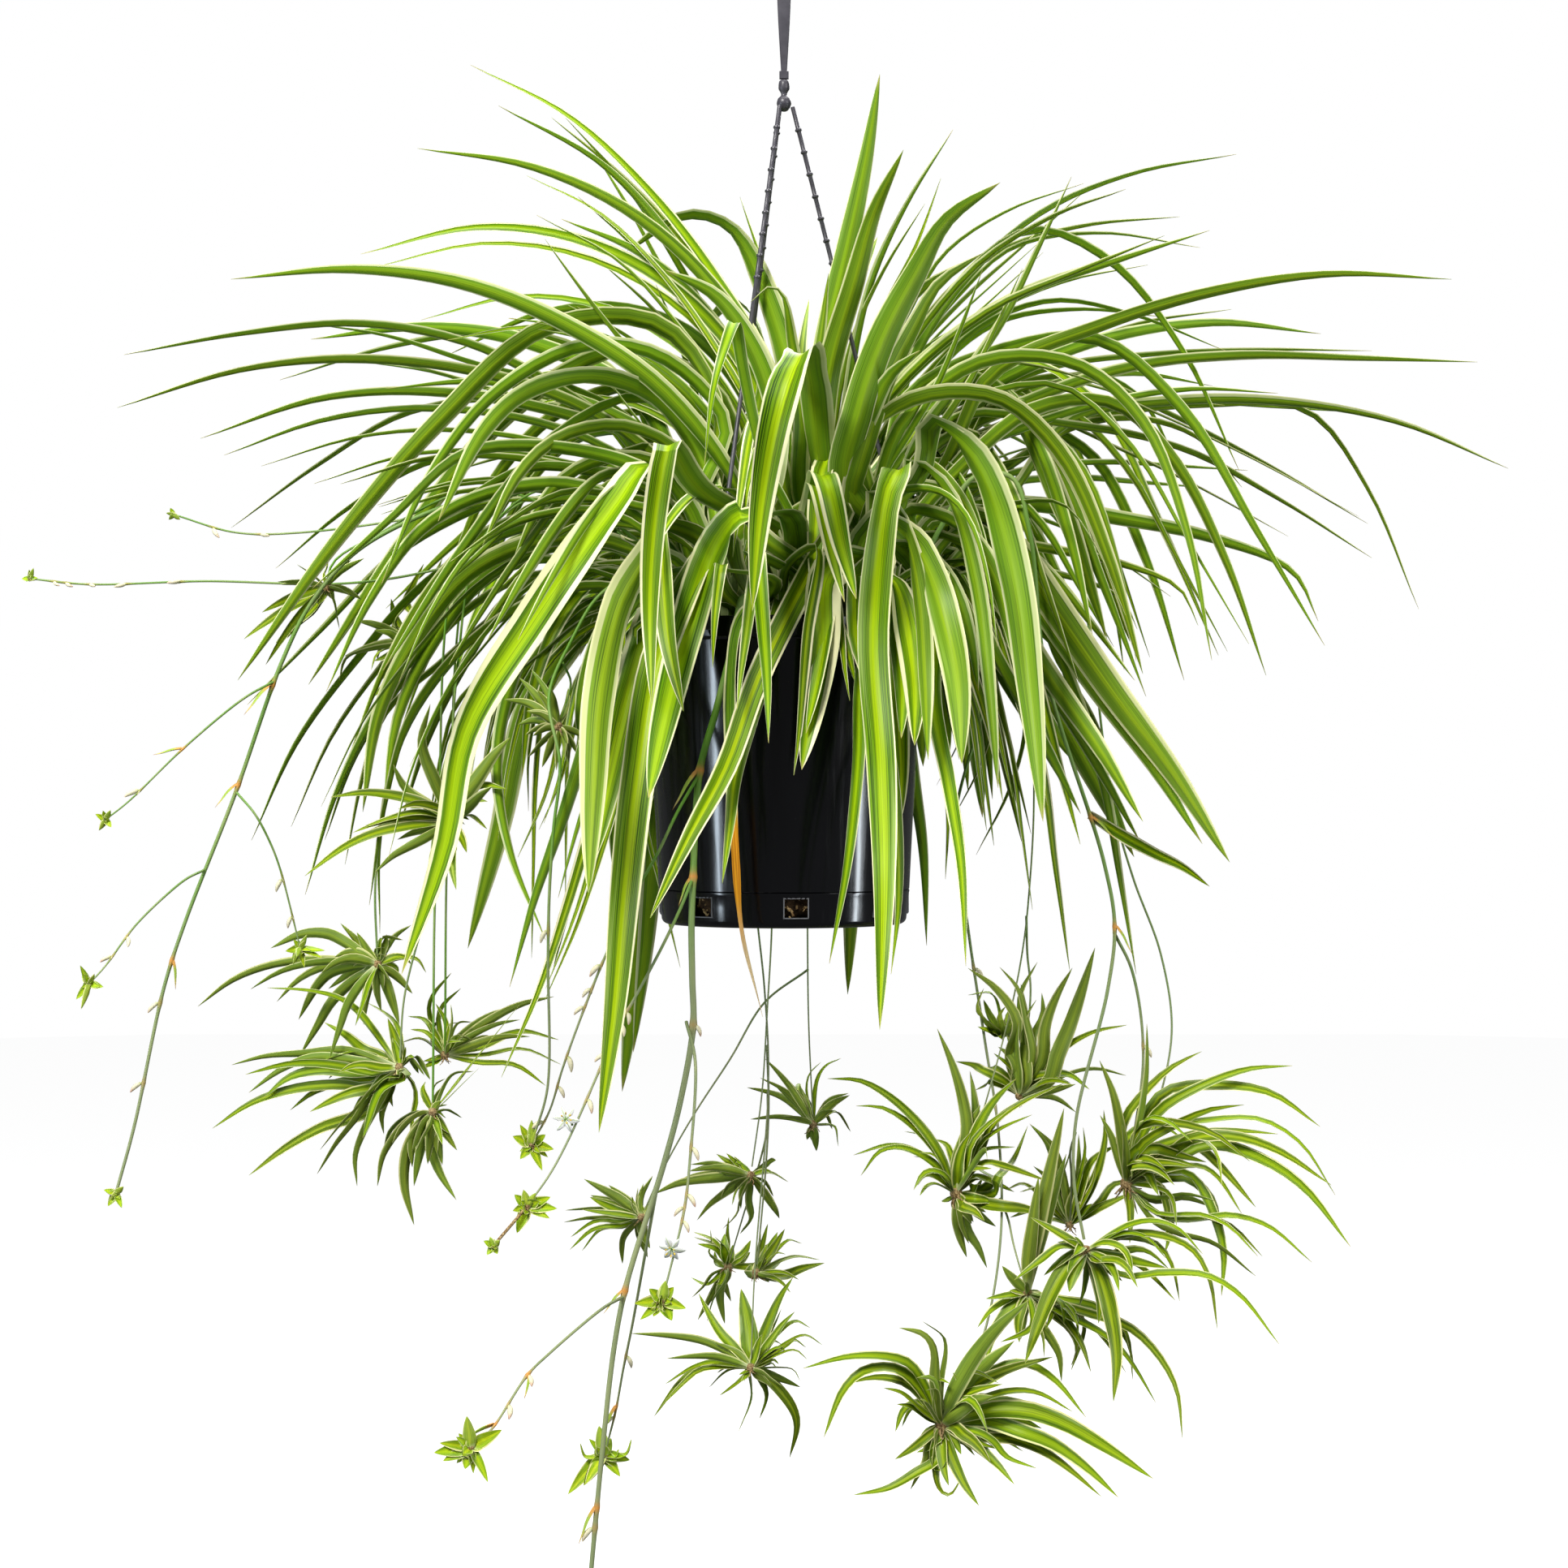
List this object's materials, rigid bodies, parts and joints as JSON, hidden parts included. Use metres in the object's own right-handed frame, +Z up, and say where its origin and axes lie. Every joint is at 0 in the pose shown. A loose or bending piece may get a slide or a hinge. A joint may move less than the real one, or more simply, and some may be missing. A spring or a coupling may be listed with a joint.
{
  "type": "potted spider plant",
  "caption": "Variegated spider plant in a glossy tapered hanging pot with a clip-on drip saucer; arching striped leaves, trailing runners and plantlets, hung by a flat hook.",
  "frame": {"origin": "the saddle of the hook, the point that rests on whatever the pot hangs from, on the pot's axis", "axes": "+Z up along the pot's axis, -Y the front that the picture shows, +X to its right"},
  "size_m": [0.9935, 0.5962, 1.0711],
  "materials": {
    "leaf": "satin",
    "plantlet_leaf": "satin",
    "runner": "satin",
    "withered": "matte",
    "petal": "matte",
    "mix": "matte",
    "pot": "gloss",
    "hanger": "satin"
  },
  "bodies": {
    "root": {"pot_shell": "pot", "drip_saucer": "pot", "potting_mix": "mix", "hanger_hook": "hanger", "hanger_yoke": "hanger", "hanger_stem_1": "hanger", "hanger_stem_2": "hanger", "hanger_stem_3": "hanger", "shoot_centre": "leaf", "shoot_back": "leaf", "shoot_back_right": "leaf", "shoot_front_right": "leaf", "shoot_front": "leaf", "shoot_front_left": "leaf", "shoot_back_left": "leaf", "shoot_left": "leaf", "shoot_right": "leaf", "withered_leaf": "withered", "runner_left_1": "runner", "runner_left_2": "runner", "runner_left_3": "runner", "runner_left_4": "runner", "runner_left_5": "runner", "runner_middle_1": "runner", "runner_middle_2": "runner", "runner_back_1": "runner", "runner_back_2": "runner", "runner_back_3": "runner", "runner_right_1": "runner", "runner_right_2": "runner", "runner_right_3": "runner", "runner_right_4": "runner", "plantlet_left_1": "plantlet_leaf", "plantlet_left_2": "plantlet_leaf", "plantlet_left_3": "plantlet_leaf", "plantlet_left_4": "plantlet_leaf", "plantlet_upper_left": "plantlet_leaf", "plantlet_inner_1": "plantlet_leaf", "plantlet_inner_2": "plantlet_leaf", "plantlet_left_5": "plantlet_leaf", "plantlet_young_1": "plantlet_leaf", "plantlet_young_2": "plantlet_leaf", "plantlet_young_3": "plantlet_leaf", "plantlet_young_4": "plantlet_leaf", "plantlet_young_5": "plantlet_leaf", "plantlet_middle_1": "plantlet_leaf", "plantlet_middle_2": "plantlet_leaf", "plantlet_middle_3": "plantlet_leaf", "plantlet_middle_4": "plantlet_leaf", "plantlet_middle_5": "plantlet_leaf", "plantlet_middle_6": "plantlet_leaf", "plantlet_right_1": "plantlet_leaf", "plantlet_right_2": "plantlet_leaf", "plantlet_right_3": "plantlet_leaf", "plantlet_right_4": "plantlet_leaf", "plantlet_right_5": "plantlet_leaf", "plantlet_right_6": "plantlet_leaf", "plantlet_right_7": "plantlet_leaf", "flower_1": "petal", "flower_2": "petal"}
  },
  "joints": []
}
